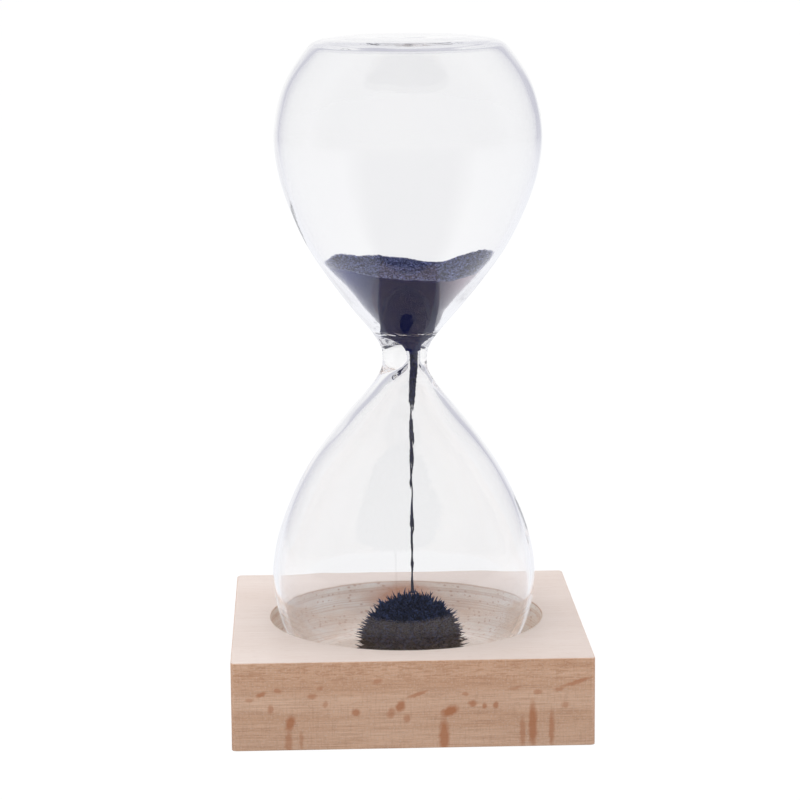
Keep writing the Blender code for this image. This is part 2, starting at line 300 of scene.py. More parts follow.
def cell_spots(n, vector, edge, core, channel, rare, sure):
    """Share of spots, one in each chosen cell of a cell pattern.

    A spot is full at distance core and gone at edge. A cell has none where the given channel
    of its random colour is below rare, and a full one above sure.
    """
    cells = n.node("ShaderNodeTexVoronoi", {"Vector": vector, "Scale": 1.0})
    chance = n.node("ShaderNodeSeparateColor", {"Color": cells.outputs["Color"]})
    return n.times(
        n.span(cells.outputs["Distance"], edge, core),
        n.span(chance.outputs[channel], rare, sure),
    )


def front_flecks(n, vector):
    """Share of the listed flecks, the strongest of them at each point."""
    total = None
    for across, up, half_width, half_height, tilt, strength in FRONT_FLECKS:
        ball = soft_ball(
            n, vector, (across, -BASE_HALF / MM, up),
            (half_width * FLECK_SPREAD, FLECK_DEPTH, half_height * FLECK_SPREAD), tilt,
        )
        share = n.times(n.span(ball, 0.05, 0.55), strength)
        total = share if total is None else n.math("MAXIMUM", total, share)
    return total


def top_tone_with_painted_sheen(n, mm, layers, fibre_share):
    """Colour of the top face, paler and greyer than the sides: partly painted sheen and overhead
    light, partly the top's own fibres and dashes.
    """
    dashes = cell_spots(n, n.mapped(mm, scale=(0.45, 1.7, 1.7)), 0.34, 0.1, 1, 0.66, 0.72)
    return n.layered(
        n.mix(n.span(layers, 0.3, 0.7), rgb(200, 184, 174), rgb(206, 192, 183)),
        (n.times(fibre_share, 0.7), rgb(188, 166, 152)),
        (n.times(dashes, 0.25), rgb(170, 134, 114)),
    )


def side_layers(n, mm, height, sideways):
    """Layers on the sides: a weave, slanted figure near the top edge, and a pale weave."""
    figure_starts = BASE_TOP / MM - 6.5
    figure_full = BASE_TOP / MM - 3.5
    weave = n.noise(n.mapped(mm, scale=(2.6, 2.6, 0.30)), detail=2, roughness=0.6)
    slope = (0, math.radians(11), 0)
    slanted = n.noise(
        n.mapped(mm, scale=(0.30, 1.0, 1.9), rotation=slope), detail=2, distortion=1.1,
    )
    pale_weave = n.noise(n.mapped(mm, scale=(2.2, 2.2, 2.6)), detail=1)
    high = n.times(n.span(height, figure_starts, figure_full), sideways)
    weave = n.times(n.span(weave, 0.50, 0.66, 0.0, 0.22), sideways)
    slanted = n.times(n.span(slanted, 0.50, 0.60, 0.0, 0.45), high)
    pale_weave = n.times(n.span(pale_weave, 0.54, 0.68, 0.0, 0.45), sideways)
    return (
        (weave, rgb(170, 128, 102)), (slanted, rgb(172, 118, 82)),
        (n.times(high, 0.18), rgb(196, 142, 102)), (pale_weave, rgb(214, 186, 166)),
    )


def recess_tone_with_painted_light(n, mm, height, radius):
    """Colour of the turned recess: darker where the cutter crossed the fibres. Its near-white base
    colours are painted light that lifts the shade inside the recess.
    """
    burnt = n.noise(n.mapped(mm, scale=(0.09, 0.09, 0.22)), detail=4, roughness=0.6)
    turning = n.node("ShaderNodeCombineXYZ", {
        "X": n.times(radius, 1.5), "Y": n.times(height, 1.5),
    })
    lines = n.span(n.noise(turning, detail=2), 0.52, 0.62, 0.0, 0.4)
    chips = cell_spots(n, n.mapped(mm, scale=(0.7, 1.3, 1.3)), 0.42, 0.22, 0, 0.66, 0.70)
    # the near-white base colours are painted light against the shade in the recess
    return n.layered(
        n.mix(n.span(burnt, 0.35, 0.68), rgb(254, 246, 238), rgb(240, 216, 198)),
        (lines, rgb(206, 166, 138)), (n.times(chips, 0.55), rgb(190, 134, 96)),
    )


def make_beech(name):
    """Beech: fibres along X, growth layers nearly level, ray flecks on the long-grain faces."""
    n = Nodes(bpy.data.materials.new(name))
    mm = n.mapped(n.coords(), scale=(1 / MM, 1 / MM, 1 / MM))
    apart = n.node("ShaderNodeSeparateXYZ", {"Vector": mm})
    x, y, height = (apart.outputs[axis] for axis in "XYZ")
    radius = n.math("SQRT", n.math("ADD", n.times(x, x), n.times(y, y)))
    normal = n.node("ShaderNodeNewGeometry").outputs["True Normal"]
    facing = n.node("ShaderNodeSeparateXYZ", {"Vector": normal})
    upward = n.span(facing.outputs["Z"], 0.4, 0.8)
    sideways = n.math("SUBTRACT", 1.0, upward)
    endways = n.span(n.math("ABSOLUTE", facing.outputs["X"]), 0.5, 0.9)
    off_front = n.span(facing.outputs["Y"], -0.75, -0.9, 0.8, 0.0)

    layers = n.noise(n.mapped(mm, scale=(0.012, 0.10, 0.32)), detail=3, distortion=0.6)
    fibres = n.noise(n.mapped(mm, scale=(0.10, 3.6, 3.6)), detail=4, roughness=0.65)
    pores = n.noise(n.mapped(mm, scale=(0.55, 7.5, 7.5)), detail=2, roughness=0.6)
    blotch = n.noise(n.mapped(mm, scale=(0.05, 0.07, 0.07)), detail=2)

    # a place with a wobble gives the flecks and the scorch ragged edges
    wobble = n.node("ShaderNodeTexNoise", {"Vector": mm, "Scale": 0.9, "Detail": 3.0})
    ragged = n.node(
        "ShaderNodeVectorMath", {0: mm, 1: wobble.outputs["Color"]}, operation="ADD",
    ).outputs[0]
    centred = n.mapped(ragged, location=(-0.5, -0.5, -0.5))
    strewn = cell_spots(
        n, n.mapped(centred, scale=(0.26, 0.26, 0.20)), 0.34, 0.16, 0, 0.70, 0.78,
    )
    strewn = n.times(n.times(strewn, off_front), sideways)
    flecks = n.math("MAXIMUM", front_flecks(n, centred), strewn)

    fibre_share = n.span(fibres, 0.44, 0.70, 0.0, 0.6)
    tone = n.layered(
        n.mix(n.span(layers, 0.32, 0.68), rgb(209, 166, 135), rgb(228, 191, 163)),
        (n.span(blotch, 0.3, 0.7, 0.0, 0.35), rgb(205, 160, 130)),
        (fibre_share, rgb(168, 124, 96)),
        (n.span(pores, 0.54, 0.70, 0.0, 0.32), rgb(146, 100, 72)),
        # the top face's paler, greyer colour is painted sheen and overhead light over its grain
        (upward, top_tone_with_painted_sheen(n, mm, layers, fibre_share)),
        *side_layers(n, mm, height, sideways),
        (n.times(flecks, 0.9), rgb(178, 112, 72)),
    )
    end_rings = n.noise(n.mapped(mm, scale=(0.02, 0.5, 1.3)), detail=2, distortion=0.3)
    end_tone = n.mix(n.span(end_rings, 0.35, 0.65), rgb(176, 134, 106), rgb(196, 156, 128))
    inside = n.times(
        n.span(radius, RECESS_RADIUS / MM + 0.15, RECESS_RADIUS / MM + 0.05),
        n.span(height, BASE_TOP / MM - 0.1, BASE_TOP / MM - 0.5),
    )
    # a scorched patch high on the back wall of the recess
    scorch = soft_ball(n, ragged, (0.8, RECESS_RADIUS / MM, 16.6), (11.0, 7.0, 4.4))
    scorch = n.span(scorch, 0.0, 0.6, 0.0, 0.85)
    tone = n.layered(
        tone, (endways, end_tone), (inside, recess_tone_with_painted_light(n, mm, height, radius)),
        (n.times(scorch, inside), rgb(204, 136, 92)),
    )

    n.feed(n.shader.inputs["Base Color"], tone)
    n.feed(n.shader.inputs["Roughness"], n.span(fibres, 0.3, 0.7, 0.44, 0.60))
    n.shader.inputs["Specular IOR Level"].default_value = 0.5
    tool_marks = n.math("SINE", n.times(radius, 9.0))
    relief = n.math("ADD", n.times(fibres, -1.0), n.times(pores, -0.8))
    for height_share, part in ((0.25, n.times(tool_marks, inside)), (0.4, flecks)):
        relief = n.math("ADD", relief, n.times(part, height_share))
    n.feed(n.shader.inputs["Normal"], n.bump(relief, 0.35, 0.00012))
    return n.owner


GLASS_TINT_LOW = rgb(250, 250, 251)
GLASS_TINT_HIGH = rgb(252, 252, 252)


def make_glass(name, cloud=0.0):
    """Clear blown glass, faintly uneven, that lets the lamps light what is behind it."""
    n = Nodes(bpy.data.materials.new(name))
    here = n.coords()
    shader = n.shader
    streaks = n.noise(n.mapped(here, scale=(60, 60, 22)), detail=2)
    n.feed(shader.inputs["Base Color"], n.mix(streaks, GLASS_TINT_LOW, GLASS_TINT_HIGH))
    shader.inputs["Transmission Weight"].default_value = 1.0
    shader.inputs["IOR"].default_value = 1.5
    haze = n.noise(n.mapped(here, scale=(900, 900, 900)), detail=3, roughness=0.7)
    n.feed(shader.inputs["Roughness"], n.span(haze, 0.55, 0.9, cloud, cloud + 0.03))
    ripple = n.noise(n.mapped(here, scale=(85, 85, 45)), detail=1)
    n.feed(shader.inputs["Normal"], n.bump(ripple, 0.25, 0.0008))
    clear = n.node("ShaderNodeBsdfTransparent", {"Color": (1.0, 1.0, 1.0, 1.0)})
    path = n.node("ShaderNodeLightPath")
    swap = n.node("ShaderNodeMixShader")
    n.feed(swap.inputs[0], path.outputs["Is Shadow Ray"])
    n.feed(swap.inputs[1], shader.outputs[0])
    n.feed(swap.inputs[2], clear.outputs[0])
    n.feed(n.output.inputs["Surface"], swap.outputs[0])
    return n.owner


def make_filings(name, dark, light, speckle, foot=None, painted_reflections=(), depth=0.7):
    """Iron grains: each cell of the grain pattern has its own brightness and tilt.

    Below the pile's waist the grains take the two foot colours, a painted reflection of the wooden
    block in the glass that browns them.
    Each reflection film is a painted reflection of the studio on the glass: colour, the X at which
    it starts and at which it is full.
    """
    n = Nodes(bpy.data.materials.new(name))
    here = n.coords()
    cells = n.node("ShaderNodeTexVoronoi", {"Vector": here, "Scale": 2700.0})
    tone = n.node("ShaderNodeSeparateColor", {"Color": cells.outputs["Color"]})
    drift = n.noise(here, scale=260, detail=2)
    share = n.times(n.span(tone.outputs[0], 0.45, 0.9), speckle)
    share = n.math("MULTIPLY", share, n.span(drift, 0.3, 0.7, 0.5, 1.3), clamp=True)
    if foot is not None:
        # below the set height the foot colours paint the wooden block's reflection in the glass,
        # brown over the grains
        height = n.node("ShaderNodeSeparateXYZ", {"Vector": here}).outputs["Z"]
        uneven = n.times(n.math("SUBTRACT", drift, 0.5), 0.004)
        level = n.math("ADD", height, uneven)
        upper = n.span(level, PILE_REFLECTION_Z - 0.0012, PILE_REFLECTION_Z + 0.0012)
        dark = n.mix(upper, foot[0], dark)
        light = n.mix(upper, foot[1], light)
        out = n.node(
            "ShaderNodeVectorMath", {0: here, 1: PILE_CENTRE}, operation="DISTANCE",
        ).outputs["Value"]
        tips = n.span(out, PILE_RADIUS + 0.0004, PILE_RADIUS + 0.0019, 0.0, 0.5)
        dark = n.mix(tips, dark, light)
        light = n.mix(tips, light, n.mix(upper, rgb(92, 78, 78), rgb(78, 94, 138)))
    # painted reflections of the studio on the glass over the filings, bluish at the left, pinkish
    # white at the right
    for colour, start, full in painted_reflections:
        across = n.node("ShaderNodeSeparateXYZ", {"Vector": here}).outputs["X"]
        reflection_share = n.span(across, start, full)
        dark = n.mix(reflection_share, dark, colour)
        light = n.mix(reflection_share, light, colour)
    n.feed(n.shader.inputs["Base Color"], n.mix(share, dark, light))
    n.shader.inputs["Specular IOR Level"].default_value = 0.12
    n.feed(n.shader.inputs["Roughness"], n.span(tone.outputs[1], 0.0, 1.0, 0.45, 0.8))
    relief = n.times(cells.outputs["Distance"], -1.0)
    n.feed(n.shader.inputs["Normal"], n.bump(relief, depth, 0.00018))
    return n.owner


def make_ferrite(name):
    n = Nodes(bpy.data.materials.new(name))
    grain = n.noise(n.coords(), scale=2200, detail=3)
    n.feed(n.shader.inputs["Base Color"], n.mix(grain, rgb(52, 52, 56), rgb(78, 78, 82)))
    n.feed(n.shader.inputs["Roughness"], n.span(grain, 0.3, 0.7, 0.4, 0.65))
    n.shader.inputs["Metallic"].default_value = 0.4
    n.feed(n.shader.inputs["Normal"], n.bump(grain, 0.3, 0.0001))
    return n.owner


# ---- wooden block ----
SIDE_POINTS = 61  # points along one straight side of the block
CORNER_STEPS = 6


def square_ring(half, corner, z):
    """Rounded square of half-width half, as points in step with circle_ring's."""
    flat = half - corner
    local = [(half, flat * math.tan(a))
             for a in np.linspace(-math.pi / 4, math.pi / 4, SIDE_POINTS)]
    for step in range(1, CORNER_STEPS):
        a = math.pi / 2 * step / CORNER_STEPS
        local.append((flat + corner * math.cos(a), flat + corner * math.sin(a)))
    points = []
    for quarter in range(4):
        turn = quarter * math.pi / 2
        for x, y in local:
            points.append((
                x * math.cos(turn) - y * math.sin(turn),
                x * math.sin(turn) + y * math.cos(turn),
                z,
            ))
    return points


def circle_ring(radius, z):
    """Circle whose points lie in the same directions as those of the square ring."""
    points = []
    for x, y, _ in square_ring(BASE_HALF, EDGE_EASE, 0.0):
        length = math.hypot(x, y)
        points.append((x / length * radius, y / length * radius, z))
    return points


def build_block():
    """The block as one skin: recess floor, cove, wall and lip, top, sides, underside, pocket."""
    rings = [circle_ring(r, RECESS_FLOOR) for r in (0.004, 0.010, 0.017, 0.022)]
    cove_steps, wall_steps, lip_steps, ease_steps = 12, 4, 3, 4
    for step in range(cove_steps + 1):
        a = math.pi / 2 * step / cove_steps
        rings.append(circle_ring(
            RECESS_RADIUS - RECESS_COVE * (1 - math.sin(a)),
            RECESS_FLOOR + RECESS_COVE * (1 - math.cos(a)),
        ))
    wall_low = RECESS_FLOOR + RECESS_COVE
    wall_height = BASE_TOP - RECESS_LIP - wall_low
    for step in range(1, wall_steps + 1):
        rings.append(circle_ring(RECESS_RADIUS, wall_low + wall_height * step / wall_steps))
    for step in range(1, lip_steps + 1):
        a = math.pi / 2 * step / lip_steps
        rings.append(circle_ring(
            RECESS_RADIUS + RECESS_LIP * (1 - math.cos(a)),
            BASE_TOP - RECESS_LIP * (1 - math.sin(a)),
        ))
    for step in range(ease_steps + 1):
        a = math.pi / 2 * step / ease_steps
        inset = TOP_EASE * (1 - math.sin(a))
        drop = TOP_EASE * (1 - math.cos(a))
        rings.append(square_ring(BASE_HALF - inset, EDGE_EASE - inset * 0.5, BASE_TOP - drop))
    for step in range(ease_steps, -1, -1):
        a = math.pi / 2 * step / ease_steps
        inset = FOOT_EASE * (1 - math.sin(a))
        rise = FOOT_EASE * (1 - math.cos(a))
        rings.append(square_ring(BASE_HALF - inset, EDGE_EASE - inset * 0.5, rise))
    rings.append(circle_ring(POCKET_RADIUS, 0.0))
    rings.append(circle_ring(POCKET_RADIUS, POCKET_TOP))
    verts, faces = loft(rings)
    block = add_mesh("beech_block", verts, faces, sharp_angle=math.radians(28))
    block.data.materials.append(make_beech("beech"))
    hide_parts("wooden_base")
    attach(block, "base")


# ---- glass ----
def axis_x(z):
    """Centre line of the glass, which bends over from the lower bulb to the upper."""
    share = ease((z - AXIS_BEND_LOW) / (AXIS_BEND_HIGH - AXIS_BEND_LOW))
    return LOWER_AXIS_X + (UPPER_AXIS_X - LOWER_AXIS_X) * share


def cavity_x(z):
    """Centre line of the cavity: the glass's own, moved over by the bore near the waist."""
    offset = STREAM_X - axis_x(WAIST)
    return axis_x(z) + offset * (1 - ease(abs(z - WAIST) / BORE_BLEND))


def outer_half(steps=10):
    return curve_through(OUTER_POINTS, steps)


def cavity_half(throat, steps=10):
    """Inner profile of one bulb: its throat, then the outer profile moved in by the wall."""
    outer = outer_half(steps)
    offset = []
    for before, here, after in zip(outer, outer[1:], outer[2:]):
        along_r = after[0] - before[0]
        along_s = after[1] - before[1]
        length = math.hypot(along_r, along_s)
        neck = 1 - ease((here[1] - NECK_END) / NECK_THINS)
        end = max(0.0, (here[1] - END_THICKENS) / (BULB_LENGTH - END_THICKENS))
        wall = WALL + (NECK_WALL - WALL) * neck + (END_WALL - WALL) * end
        point = (here[0] - wall * along_s / length, here[1] + wall * along_r / length)
        if here[1] >= NECK_END and point[1] < BULB_LENGTH - END_WALL - 0.00005:
            offset.append(point)
    coarse = list(throat) + [offset[0], offset[2 * steps]]
    return curve_through(coarse, steps)[:-steps - 1] + offset


UPPER_CAVITY = cavity_half(UPPER_THROAT)
LOWER_CAVITY = cavity_half(LOWER_THROAT)


def radius_at(profile, height):
    """Radius of a half profile at a distance from the waist."""
    radii = [p[0] for p in profile]
    heights = [p[1] for p in profile]
    return float(np.interp(height, heights, radii))


GLASS_SEGMENTS = 128
SEAL_SEGMENTS = 64
SEAL_EASE = 0.0003  # rounding of the seal's two rims


def build_glass():
    """One closed skin: down the outside, in through the filling hole, up the inside."""
    outer = outer_half()
    flat = [FLAT_START - FLAT_STEP * step for step in range(FLAT_RINGS)]

    def end_height(radius):
        """Distance of a flat end from the waist; the ends are a little hollow in the middle."""
        return BULB_LENGTH - FLAT_DISH * (1 - (radius / OUTER_POINTS[-1][0]) ** 2) ** 2

    outline = []
    for r in reversed(flat):
        outline.append((r, WAIST + end_height(r), axis_x))
    for r, s in reversed(outer):
        outline.append((r, WAIST + s, axis_x))
    for r, s in outer[1:]:
        outline.append((r, WAIST - s, axis_x))
    for r in flat:
        if r > HOLE_RADIUS:
            outline.append((r, WAIST - end_height(r), axis_x))
    outline.append((HOLE_RADIUS, WAIST - end_height(HOLE_RADIUS), axis_x))
    outline.append((HOLE_RADIUS, GLASS_BOTTOM + END_WALL, axis_x))
    for r in reversed(flat):
        if r > HOLE_RADIUS:
            outline.append((r, GLASS_BOTTOM + END_WALL, axis_x))
    for r, s in reversed(LOWER_CAVITY):
        outline.append((r, WAIST - s, cavity_x))
    for r, s in UPPER_CAVITY[1:]:
        outline.append((r, WAIST + s, cavity_x))
    for r in flat:
        outline.append((r, WAIST + end_height(r) - END_WALL, axis_x))
    angles = np.linspace(0, TURN, GLASS_SEGMENTS, endpoint=False)
    loops = [
        [(r * math.cos(a) + centre(z), r * math.sin(a), z) for a in angles]
        for r, z, centre in outline
    ]
    verts, faces = loft(loops)
    glass = add_mesh("glass_double_bulb", verts, faces, sharp_angle=math.radians(50))
    glass.data.materials.append(make_glass("blown_glass"))
    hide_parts("glass_vessel")
    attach(glass, "vessel")


def build_seal():
    """The fused seal in the filling hole: a plug with rounded rims, set in from the outside."""
    radius = HOLE_RADIUS - GAP
    low = GLASS_BOTTOM + GAP
    high = GLASS_BOTTOM + END_WALL - 0.00002
    outline = [(0.0012, low), (radius * 0.8, low + 0.00004), (radius, low + SEAL_EASE)]
    outline += [(radius, high - SEAL_EASE), (radius * 0.85, high), (0.0008, high)]
    angles = np.linspace(0, TURN, SEAL_SEGMENTS, endpoint=False)
    curve = curve_through(outline, 4)
    loops = [
        [(r * math.cos(a) + LOWER_AXIS_X, r * math.sin(a), z) for a in angles] for r, z in curve
    ]
    verts, faces = loft(loops)
    seal = add_mesh("fused_seal", verts, faces)
    seal.data.materials.append(make_glass("seal_glass", cloud=0.12))
    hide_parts("fill_plug")
    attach(seal, "vessel")


# ---- iron filings ----
def grains(places, sizes, stretch):
    """One small irregular octahedron at each place, as vertex and face arrays."""
    corners = np.array([(1, 0, 0), (-1, 0, 0), (0, 1, 0), (0, -1, 0), (0, 0, 1), (0, 0, -1)], float)
    sides = np.array([
        (0, 2, 4), (2, 1, 4), (1, 3, 4), (3, 0, 4), (2, 0, 5), (1, 2, 5), (3, 1, 5), (0, 3, 5),
    ])
    count = len(places)
    shape = corners[None] * rng.uniform(0.55, 1.25, (count, 6, 1))
    shape[:, :, 2] *= stretch
    turns, _ = np.linalg.qr(rng.normal(size=(count, 3, 3)))
    shape = np.einsum("nij,nkj->nki", turns, shape) * np.asarray(sizes)[:, None, None]
    verts = (shape + np.asarray(places)[:, None, :]).reshape(-1, 3)
    faces = (sides[None] + 6 * np.arange(count)[:, None, None]).reshape(-1, 3)
    return verts, faces


def join_parts(parts):
    """The vertices and faces of all the parts, as one list of each."""
    verts = []
    faces = []
    offset = 0
    for part_verts, part_faces in parts:
        verts.append(np.asarray(part_verts, float))
        faces += [tuple(int(v) + offset for v in face) for face in part_faces]
        offset += len(part_verts)
    return np.concatenate(verts), faces


# rim of the charge: direction in degrees (0 right, 90 back), height above the waist
RIM_POINTS = (
    (0, 0.0240), (17, 0.0237), (31, 0.0227), (44, 0.0209), (57, 0.0198), (70, 0.0198),
    (91, 0.0206), (119, 0.0216), (149, 0.0225), (167, 0.0221), (190, 0.0224), (220, 0.0226),
    (253, 0.0213), (272, 0.0208), (300, 0.0202), (320, 0.0210), (340, 0.0233), (360, 0.0240),
)


def rim_height(angle):
    """Height above the waist of the charge's rim."""
    degrees = math.degrees(angle) % 360
    for (start, low), (end, high) in zip(RIM_POINTS, RIM_POINTS[1:]):
        if start <= degrees <= end:
            return low + (high - low) * ease((degrees - start) / (end - start))
    return RIM_POINTS[0][1]


SURFACE_MID = 0.0202  # height above the waist of the middle of the charge's top
CHARGE_TIP = 0.0015  # and of its lowest point, in the bore
CHARGE_SEGMENTS = 220
CHARGE_SIDE_STEPS = 60
CHARGE_TOP_RINGS = 52
TOP_RIPPLE = 0.00018  # unevenness of the top
LOOSE_GRAINS = 12000  # grains that lie on the top
DUST_GRAINS = 1500  # fine grains that cling to the glass along the rim

# packed grains touch the glass in the throat and down the front, and look darker
PACKED_IN = 0.00006  # how far they reach into the glass
PACKED_THROAT = 0.0058  # height above the waist up to which they are packed all round
PACKED_MIDDLE = 0.0006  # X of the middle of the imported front
PACKED_LOW = 0.0050  # its half width at the bottom
PACKED_HIGH = 0.0063  # and higher up


def packed_share(angle, height, across):
    """1 where the grains are packed against the glass, 0 where there is air between."""
    uneven = 0.0004 * noise.noise(Vector((math.cos(angle), math.sin(angle), 5)) * 2)
    packed = 1 - ease((height - PACKED_THROAT) / 0.0006)
    if angle > math.pi:
        half = PACKED_LOW + (PACKED_HIGH - PACKED_LOW) * ease((height - 0.0065) / 0.009)
        packed = max(packed, 1 - ease((abs(across - PACKED_MIDDLE) - half) / 0.0005))
    return packed * ease((height + uneven - CHARGE_TIP - 0.0004) / 0.0012)


def charge_side_point(angle, share):
    """Point on the charge's side, from its tip (share 0) up to its rim (share 1)."""
    rim = rim_height(angle)
    rim += 0.0002 * noise.noise(Vector((math.cos(angle), math.sin(angle), 0)) * 9)
    height = CHARGE_TIP + (rim - CHARGE_TIP) * share ** 1.3
    radius = radius_at(UPPER_CAVITY, height) - SKIN
    shift = cavity_x(WAIST + height)
    packed = packed_share(angle, height, radius * math.cos(angle) + shift)
    radius += (SKIN + PACKED_IN) * packed
    return radius * math.cos(angle) + shift, radius * math.sin(angle), WAIST + height


def top_level(rim, share):
    """Height of the dished top, where share is 0 in the middle and 1 at a rim of height rim."""
    return SURFACE_MID + (rim - SURFACE_MID) * share ** 2


def top_lump(x, y):
    """Slow unevenness of the top, as a share of its ripple."""
    return noise.noise(Vector((x, y, 1.0)) * 420) * 1.6


def charge_skin():
    """Closed skin of the charge, its side faces first."""
    side = [
        [charge_side_point(TURN * i / CHARGE_SEGMENTS, step / CHARGE_SIDE_STEPS)
         for i in range(CHARGE_SEGMENTS)]
        for step in range(CHARGE_SIDE_STEPS + 1)
    ]
    top = []
    for ring in range(CHARGE_TOP_RINGS, 0, -1):
        share = ring / (CHARGE_TOP_RINGS + 1)
        loop = []
        for x, y, z in side[-1]:
            middle = cavity_x(z)
            px, py = middle + (x - middle) * share, y * share
            grain = noise.noise(Vector((px, py, 2.0)) * 2600)
            level = WAIST + top_level(z - WAIST, share)
            loop.append((px, py, level + TOP_RIPPLE * (top_lump(px, py) + grain)))
        top.append(loop)
    return loft(side + top)


def loose_grains():
    """Grains strewn evenly over the charge's top."""
    shares = np.sqrt(rng.uniform(0, 1, LOOSE_GRAINS)) * 0.985
    angles = rng.uniform(0, TURN, LOOSE_GRAINS)
    places = []
    for share, a in zip(shares, angles):
        rim = rim_height(a)
        radius = (radius_at(UPPER_CAVITY, rim) - SKIN - 0.0002) * share
        px, py = cavity_x(WAIST + rim) + radius * math.cos(a), radius * math.sin(a)
        lump = top_lump(px, py) + rng.uniform(-0.2, 1.2)
        places.append((px, py, WAIST + top_level(rim, share) + TOP_RIPPLE * lump))
    return grains(places, rng.uniform(0.00012, 0.00031, LOOSE_GRAINS), 1.4)


def rim_dust():
    """Fine pale grains that cling to the glass along the charge's rim."""
    places = []
    for a in rng.uniform(0, TURN, DUST_GRAINS):
        rim = rim_height(a) + rng.uniform(-0.00015, 0.00025)
        radius = radius_at(UPPER_CAVITY, rim) - SKIN - rng.uniform(0.00008, 0.00025)
        middle = cavity_x(WAIST + rim)
        places.append((middle + radius * math.cos(a), radius * math.sin(a), WAIST + rim))
    return grains(places, rng.uniform(0.00007, 0.00013, DUST_GRAINS), 1.3)


def build_charge():
    """Filings still in the upper bulb, against the glass, with a grainy top."""
    skin = charge_skin()
    loose = loose_grains()
    dust = rim_dust()
    verts, faces = join_parts([skin, loose, dust])
    charge = add_mesh("upper_iron_filings", verts, faces)
    for material in (
        make_filings("charge_iron", rgb(16, 20, 56), rgb(134, 142, 194), 0.85),
        make_filings(
            "charge_against_glass", rgb(17, 22, 74), rgb(38, 44, 104), 0.3, depth=0.15,
            # painted reflections on the glass: bluish at the left, pinkish white at the right
            painted_reflections=((rgb(66, 76, 140), -0.0050, -0.0125), (rgb(204, 186, 202), 0.0062, 0.0125)),
        ),
        make_filings("rim_dust", rgb(110, 116, 160), rgb(178, 184, 220), 0.6),
    ):
        charge.data.materials.append(material)
    side_faces = CHARGE_SIDE_STEPS * CHARGE_SEGMENTS
    dust_start = len(charge.data.polygons) - len(dust[1])
    for face in charge.data.polygons:
        if face.index < side_faces:
            face.material_index = 1
        elif face.index >= dust_start:
            face.material_index = 2
    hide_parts("upper_filings")
    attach(charge, "vessel")


# the falling strands, each as points: distance below the waist, radius, sideways shift, in mm
STREAM_STRANDS = (
    ((-2.5, 0.94, 0.00), (0.0, 0.92, 0.00), (5.0, 0.84, 0.02), (9.6, 0.72, 0.04),
     (10.6, 0.55, -0.04), (11.3, 0.19, -0.06), (13.9, 0.19, -0.04), (14.5, 0.38, 0.00),
     (16.5, 0.44, 0.00), (18.2, 0.43, 0.04), (18.8, 0.27, 0.00), (20.2, 0.30, 0.00),
     (21.6, 0.42, 0.02), (23.6, 0.45, 0.00), (24.3, 0.19, -0.10), (27.0, 0.16, -0.16),
     (29.8, 0.14, 0.06), (32.0, 0.14, 0.08), (36.0, 0.30, 0.04), (39.0, 0.44, 0.00),
     (39.7, 0.19, -0.04), (43.5, 0.14, -0.12), (46.8, 0.16, 0.00), (48.4, 0.35, 0.03),
     (49.8, 0.19, 0.00), (51.6, 0.21, 0.00), (54.0, 0.34, 0.00), (56.5, 0.48, 0.00),
     (59.0, 0.56, 0.00)),
    ((9.8, 0.30, 0.42), (10.9, 0.21, 0.46), (12.2, 0.08, 0.36)),
    ((17.2, 0.19, 0.36), (18.6, 0.18, 0.50), (19.6, 0.06, 0.44)),
    ((23.0, 0.19, 0.30), (24.6, 0.16, 0.30), (27.2, 0.13, -0.04), (29.0, 0.24, -0.20),
     (30.2, 0.10, -0.24)),
    ((38.2, 0.19, 0.30), (39.8, 0.16, 0.40), (41.5, 0.11, 0.14), (44.5, 0.11, 0.16),
     (47.0, 0.10, 0.02)),
)


STREAM_SIDES = 16
STREAM_STEPS = 16  # rings from one point of a strand to the next
STREAM_THINNEST = 0.06  # smallest radius, and the farthest sway to a side, in mm
STREAM_SWAY = 0.08
GRAINS_TO_A_RING = 4


def build_stream():
    """Thick clumps with ragged ends, joined by thin strands that cross each other."""
    top = WAIST + CHARGE_TIP - 0.00005
    bottom = stream_low.z + 0.0001
    parts = []
    places = []
    for points in STREAM_STRANDS:
        rings = []
        for drop, radius, shift in curve_through(points, STREAM_STEPS):
            z = WAIST - drop * MM
            if not bottom <= z <= top:
                continue
            sway = STREAM_SWAY * min(1.0, max(0.0, drop - 4) / 10)
            cx = STREAM_X + (shift + sway * noise.noise(Vector((drop * 0.3, 0, 7)))) * MM
            cy = sway * noise.noise(Vector((drop * 0.3, 9, 0))) * MM
            radius = max(radius, STREAM_THINNEST) * MM
            loop = []
            for side in range(STREAM_SIDES):
                a = TURN * side / STREAM_SIDES
                rough = noise.noise(Vector((math.cos(a), math.sin(a), drop * 1.6)) * 1.7)
                r = radius * (1 + 0.20 * rough)
                loop.append((cx + r * math.cos(a), cy + r * math.sin(a), z))
            rings.append(loop)
            for _ in range(GRAINS_TO_A_RING):
                a = rng.uniform(0, TURN)
                r = radius * rng.uniform(0.8, 1.15)
                level = min(top, max(bottom + 0.0003, z + rng.normal(0, 0.0003)))
                places.append((cx + r * math.cos(a), cy + r * math.sin(a), level))
        parts.append(loft(rings))
    parts.append(grains(places, rng.uniform(0.00004, 0.00010, len(places)), 1.8))
    verts, faces = join_parts(parts)
    stream = add_mesh("falling_iron_stream", verts, faces)
    stream.data.materials.append(
        make_filings("stream_iron", rgb(14, 14, 40), rgb(62, 64, 112), 0.5))
    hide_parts("falling_stream")
    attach(stream, "vessel")


